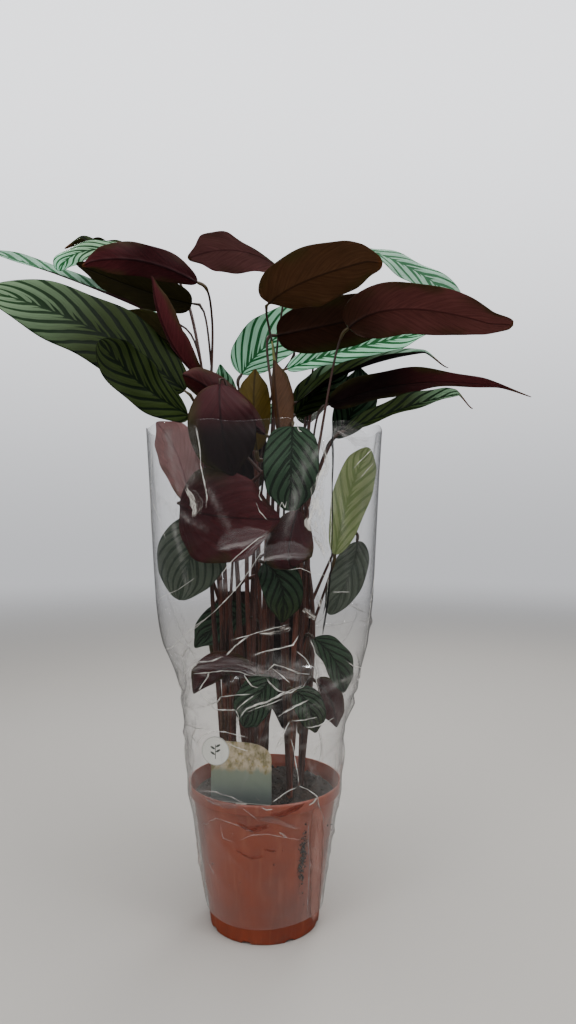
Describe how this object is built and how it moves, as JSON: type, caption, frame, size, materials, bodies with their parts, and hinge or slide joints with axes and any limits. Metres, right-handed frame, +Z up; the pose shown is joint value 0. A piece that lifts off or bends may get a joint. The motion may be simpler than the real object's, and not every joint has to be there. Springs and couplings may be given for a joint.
{
  "type": "potted never never plant",
  "caption": "Leafy houseplant with striped leaves on tall canes, in a nursery pot of soil inside a clear film sleeve open at the top.",
  "frame": {"origin": "middle of the pot's underside", "axes": "+Z up along the pot's axis, -Y towards the front, +X to the right seen from the front"},
  "size_m": [0.7533, 0.4334, 0.9777],
  "materials": {
    "leaf": "satin leaf with dark stripes above and wine red below",
    "young_leaf": "satin young leaf, yellow-green",
    "cane": "smooth dark red-brown stalk",
    "soil": "rough dark potting soil",
    "pot": "satin terracotta-coloured plastic",
    "film": "clear crinkled film",
    "card": "smooth printed card with no marks"
  },
  "bodies": {
    "root": {"care_card": "card", "leaf_back_centre": "leaf", "leaf_back_left": "leaf", "leaf_back_low": "leaf", "leaf_back_low_left": "leaf", "leaf_back_low_right": "leaf", "leaf_back_right": "leaf", "leaf_back_tall": "leaf", "leaf_centre_arch": "leaf", "leaf_centre_brown": "leaf", "leaf_centre_dome": "leaf", "leaf_centre_green": "leaf", "leaf_centre_olive": "leaf", "leaf_centre_right": "leaf", "leaf_centre_striped": "leaf", "leaf_left_behind": "leaf", "leaf_left_broad": "leaf", "leaf_left_curled": "leaf", "leaf_left_dark": "leaf", "leaf_left_edge": "leaf", "leaf_left_far": "leaf", "leaf_left_low": "leaf", "leaf_left_top": "leaf", "leaf_left_young": "leaf", "leaf_low_green": "leaf", "leaf_low_inner": "leaf", "leaf_low_maroon": "leaf", "leaf_new_spear": "young_leaf", "leaf_right_black": "leaf", "leaf_right_dark": "leaf", "leaf_right_far": "leaf", "leaf_right_inner": "leaf", "leaf_right_long": "leaf", "leaf_right_low": "leaf", "leaf_right_striped": "leaf", "leaf_right_thin": "leaf", "leaf_sleeve_inner": "leaf", "leaf_sleeve_left": "leaf", "leaf_sleeve_low_front": "leaf", "leaf_sleeve_low_left": "leaf", "leaf_sleeve_low_right": "leaf", "leaf_sleeve_maroon": "leaf", "leaf_sleeve_pale": "leaf", "leaf_sleeve_pink": "leaf", "leaf_sleeve_right": "leaf", "leaf_sleeve_striped": "leaf", "leaf_sleeve_wine": "leaf", "leaf_top_back": "leaf", "leaf_top_centre": "leaf", "pot": "pot", "shoot_back": "cane", "shoot_centre": "cane", "shoot_centre_front": "cane", "shoot_left_back": "cane", "shoot_left_front": "cane", "shoot_right": "cane", "shoot_right_back": "cane", "shoot_right_front": "cane", "sleeve": "film", "soil": "soil"}
  },
  "joints": []
}
